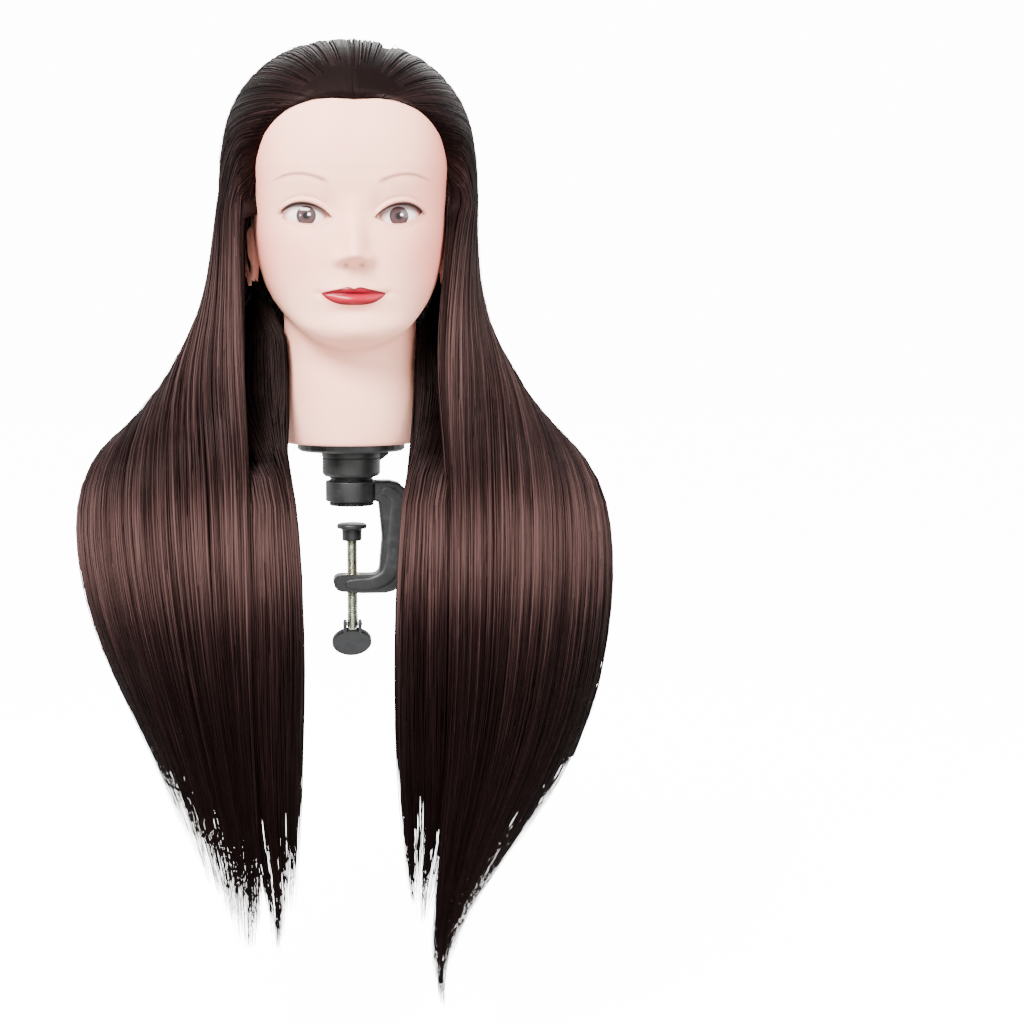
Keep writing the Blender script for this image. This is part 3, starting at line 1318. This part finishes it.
def lathe(name, outline, look, body, slot, node, wave=None, columns=96, bored=True):
    """A turned piece round the clamp's axis; wave(radius, height, angle) reshapes its radius, all in mm."""
    angle = np.linspace(0, 2 * np.pi, columns, endpoint=False)
    radius = np.repeat(outline[:, :1], columns, axis=1)
    height = np.repeat(outline[:, 1:], columns, axis=1)
    if wave is not None:
        radius = wave(radius, height, np.broadcast_to(angle, radius.shape))
    points = np.stack((radius * np.cos(angle), radius * np.sin(angle), height), axis=2).reshape(-1, 3)
    faces = tube_faces(len(outline), columns, closed_rows=bored)
    return build_mesh(name, points * MM, faces, look, body, (node,) if node else (), sharp=38)


def turned(name, corners, look, *rest, **settings):
    """A turned plastic piece whose outline's corners are rounded off; look is its name and shade."""
    return lathe(name, softened(corners), plastic_look(*look), *rest, **settings)


def flutes(radius, height, angle):
    """Narrow grooves down the grip, running out at its chamfered foot and its top."""
    base = TRAY_TOP / MM + 25
    turn = (angle / (2 * np.pi) * GRIP_FLUTES + 0.5) % 1 - 0.5
    depth = smoothstep(height, base + 6, base + 9) * (1 - 0.5 * smoothstep(height, base + 48.6, base + 50))
    groove = np.exp(-((turn / 0.13) ** 4)) * 1.2 - 0.25 * np.exp(-(((np.abs(turn) - 0.3) / 0.12) ** 2))
    return np.where(radius > 8.6, radius - depth * groove, radius)


def teeth(radius, _height, angle):
    """Square teeth round the jaw pad's rim."""
    swing = np.sin(angle * JAW_TEETH)
    return np.where(radius > 14, radius - 0.55 + 0.55 * np.clip(swing * 3, -1, 1), radius)


def thread(radius, height, angle):
    """A right-handed screw thread, worn smooth at the rod's two ends."""
    part = (height / THREAD_PITCH - angle / (2 * np.pi)) % 1
    depth = THREAD_DEPTH * smoothstep(height, -83.5, -81) * (1 - smoothstep(height, -19, -17))
    return radius - depth * np.clip(np.abs(part - 0.5) * 2.6 - 0.15, 0, 1)


def make_turned_pieces():
    """The grip, the collar, the jaw pad, the screw and its foot."""
    top = TRAY_TOP / MM
    grip = [(7.6, top + 25, 0.3), (9.2, top + 25, 0.6), (11.75, top + 30.7, 1.2), (11.6, top + 40, 0)]
    grip += [(10.5, top + 74.2, 0), (10.1, top + 75, 0.6), (6.15, top + 75, 0.3)]
    grip += [(6.15, top + 33.4, 0.2), (7.6, top + 33.4, 0.2)]
    profile = softened(grip)
    dense = [profile[0]]
    for spot in profile[1:]:
        pieces = max(1, int(abs(spot[1] - dense[-1][1]) / 1.0))
        dense += [dense[-1] + (spot - dense[-1]) * (k + 1) / pieces for k in range(pieces)]
    grip_look = plastic_look("sleeve_plastic", (19, 19, 19))
    lathe("fluted_grip", np.array(dense), grip_look, "swivel", "sleeve", "post_sleeve", flutes, 200)
    pad = [(3.3, 0.0, 0.2), (16.5, 0.0, 0.5), (16.5, 3.0, 0.5), (3.3, 3.0, 0.2)]
    pad_look = ("jaw_plastic", (20, 20, 20))
    turned("toothed_pad", pad, pad_look, "frame", "jaw_pad", "jaw_pad", teeth, 312)
    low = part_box("friction_washer")[0].z / MM
    collar = [(3.3, low, 0.1), (16.2, low, 0.4), (16.2, low + 0.9, 0.1), (15.6, low + 1.1, 0.1)]
    collar += [(15.6, low + 1.9, 0.1), (16.5, low + 2.1, 0.2), (16.5, low + 3, 0.3), (3.3, low + 3, 0.1)]
    collar_look = ("washer_plastic", (17, 17, 17))
    turned("grooved_collar", collar, collar_look, "swivel", "holder_plastic", "friction_washer")
    make_hub(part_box("swivel_hub")[0].z / MM)
    ring = [(17.5, 3.3, 0.1), (19.3, 3.3, 0.9), (19.3, 18.3, 0.9), (17.5, 18.3, 0.1)]
    turned("swivel_ring", ring, ("ring_plastic",), "frame", "clamp_plastic", None, columns=128)
    foot = [(0.4, -15.8, 0), (4.3, -15.8, 0.1), (4.3, -26.8, 0.3), (7.2, -26.8, 0.8), (7.5, -17.8, 1.6)]
    foot += [(11.2, -17.5, 0.9), (11.2, -14.6, 0.9), (9.2, -13.8, 0.6), (8.6, -14.1, 0.4), (0.4, -14.1, 0)]
    foot_look = ("pad_plastic", (24, 24, 24))
    turned("pressing_foot", foot, foot_look, "screw_foot", "screw_pad", "screw_pad", bored=False)
    make_rod()


def make_rod():
    """The threaded rod, drilled across for the thumb disc's pin."""
    foot, crown = [-94, -93.6, -93, -91.8], [-16.8, -16.4, -16.1]
    heights = np.concatenate((foot, np.arange(-90, -83, 1.0), np.arange(-83, -17, 0.16), crown))
    radii = np.interp(heights, (-94, -93, -91.8, -16.6, -16.1), (3.0, 3.6, 4.0, 4.0, 3.6))
    zinc = metal_look("screw_zinc", (196, 198, 178), (150, 152, 132))
    outline = np.stack((radii, heights), axis=1)
    rod = lathe("threaded_rod", outline, zinc, "screw", "screw", "clamp_screw", thread, 40, False)
    bpy.ops.mesh.primitive_cylinder_add(radius=1.8 * MM, depth=16 * MM, vertices=32)
    drill = bpy.context.object
    drill.location = (0, 0, PIN_HEIGHT * MM)
    drill.rotation_euler = (0, math.pi / 2, 0)
    hole = rod.modifiers.new("pin_hole", "BOOLEAN")
    hole.operation = "DIFFERENCE"
    hole.solver = "EXACT"
    hole.object = drill
    shaped = bpy.data.meshes.new_from_object(rod.evaluated_get(bpy.context.evaluated_depsgraph_get()))
    rod.modifiers.clear()
    rod.data = shaped
    bpy.data.objects.remove(drill)


def make_hub(low):
    """The drum under the tray: a plain band over a turned-in foot, with the stop rib on its side."""
    look = plastic_look("hub_plastic", (34, 34, 33))
    drum = [(3.4, low, 0.1), (19.6, low, 0.5), (21.5, low + 2, 0.8), (21.6, low + 13.4, 0.2)]
    drum += [(21.2, low + 13.8, 0.2), (21.2, low + 14.3, 0.2), (22, low + 14.6, 0.3)]
    drum += [(22, low + 18, 0.3), (7.6, low + 18, 0.2), (7.6, low + 6, 0), (3.4, low + 6, 0.1)]
    lathe("swivel_drum", softened(drum), look, "swivel", "holder_plastic", "swivel_hub", columns=128)
    inner_edge = [(20.5, low + 18, 0.2), (20.5, low + 10.5, 0.2)]
    edge = softened(inner_edge + [(27.8, low + 16, 1.2), (27.8, low + 18, 0.5)])
    rows = [np.stack((edge[:, 0], np.full(len(edge), y), edge[:, 1]), axis=1) for y in (-1, -0.8, 0.8, 1)]
    points = np.concatenate(rows)
    build_mesh("drum_rib", points * MM, tube_faces(4, len(edge)), look, "swivel", sharp=40)


def curve_points(corners, count):
    """Evenly spaced places along a smooth curve through the given ones."""
    spots = np.array(corners, dtype=float)
    fine = np.linspace(0, len(spots) - 1, 400)
    index = np.clip(fine.astype(int), 0, len(spots) - 2)
    curve = hermite(spots, np.gradient(spots, axis=0), index, (fine - index)[:, None])
    length = np.concatenate(([0], np.cumsum(np.linalg.norm(np.diff(curve, axis=0), axis=1))))
    even = np.linspace(0, length[-1], count)
    return np.stack([np.interp(even, length, curve[:, k]) for k in (0, 1)], axis=1)


def make_frame_panels(look):
    """The broad raised panel moulded on each flat side of the C-shaped frame."""
    middle = [(21, 10.5), (28, 9.5), (33.5, 3), (34.2, -10), (33.2, -26)]
    middle += [(31.5, -40), (26, -53), (15, -58.6), (3, -59), (-6, -59)]
    half = [3.0, 4.6, 6.2, 6.9, 7.3, 6.4, 5.4, 4.6, 4.2, 3.0]
    rows, columns = 90, 17
    line = curve_points(middle, rows)
    wide = np.interp(np.linspace(0, 1, rows), np.linspace(0, 1, len(half)), half)
    ends = np.linspace(-1, 1, rows)
    wide = wide * (1 - np.abs(ends) ** 40) + 0.4
    along = np.gradient(line, axis=0)
    along /= np.linalg.norm(along, axis=1, keepdims=True)
    across = np.stack((-along[:, 1], along[:, 0]), axis=1)
    spread = np.linspace(-1, 1, columns)
    crown = 0.75 * (1 - np.abs(spread) ** 8)[None] * (1 - np.abs(ends) ** 60)[:, None]
    flat = line[:, None] + across[:, None] * (wide[:, None] * spread)[..., None]
    for side, name in ((-1, "frame_panel_front"), (1, "frame_panel_back")):
        outer = np.stack((flat[..., 0], side * (9.0 + crown), flat[..., 1]), axis=-1)
        inner = np.stack((flat[..., 0], np.full_like(crown, side * 8.6), flat[..., 1]), axis=-1)
        rings = np.concatenate((outer, inner[:, ::-1]), axis=1)
        points, faces = rings.reshape(-1, 3) * MM, tube_faces(rows, 2 * columns)
        build_mesh(name, points, faces, look, "frame", (), sharp=50)


def round_edges(node, width, segments=3, limit=32):
    """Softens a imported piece's edges, as moulding does."""
    edges = node.modifiers.new("moulded_edges", "BEVEL")
    edges.width = width * MM
    edges.segments = segments
    edges.limit_method = "ANGLE"
    edges.angle_limit = math.radians(limit)
    edges.use_clamp_overlap = True


def finish_carried_over():
    """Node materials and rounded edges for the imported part's own pieces that stay on show."""
    body = plastic_look("frame_plastic")
    make_frame_panels(body)
    looks = {
        "clamp_frame": body,
        "thread_insert": metal_look("insert_brass", (190, 160, 96), (150, 124, 74)),
        "tray": plastic_look("tray_plastic", (26, 26, 26)),
        "post_shaft": plastic_look("shaft_plastic", (32, 31, 30)),
        "sleeve_screw": plastic_look("cap_plastic", (19, 19, 19)),
        "pivot_bolt": metal_look("bolt_zinc", (176, 178, 172), (140, 142, 136)),
        "pivot_washer": metal_look("washer_zinc", (176, 178, 172), (146, 148, 142)),
        "thumb_paddle": plastic_look("paddle_plastic", (26, 27, 30)),
        "paddle_pin": metal_look("pin_zinc", (176, 178, 172), (146, 148, 142)),
        "neck_plate": neck_fitting_look("plate_resin"),
        "neck_socket": neck_fitting_look("socket_resin"),
    }
    widths = {"clamp_frame": 0.7, "tray": 0.6, "thumb_paddle": 0.5, "sleeve_screw": 0.3, "neck_plate": 0.5}
    for name, look in looks.items():
        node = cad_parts[name]
        node.data.materials.clear()
        node.data.materials.append(look)
        if name in widths:
            round_edges(node, widths[name])


make_camera()
make_stage()
smooth_profile()
make_skin()
make_core()
glaze = eye_look()
make_eye("doll_eye_left", 1, glaze, "eye_left")
make_eye("doll_eye_right", -1, glaze, "eye_right")
make_lashes()
make_hair()
make_turned_pieces()
finish_carried_over()
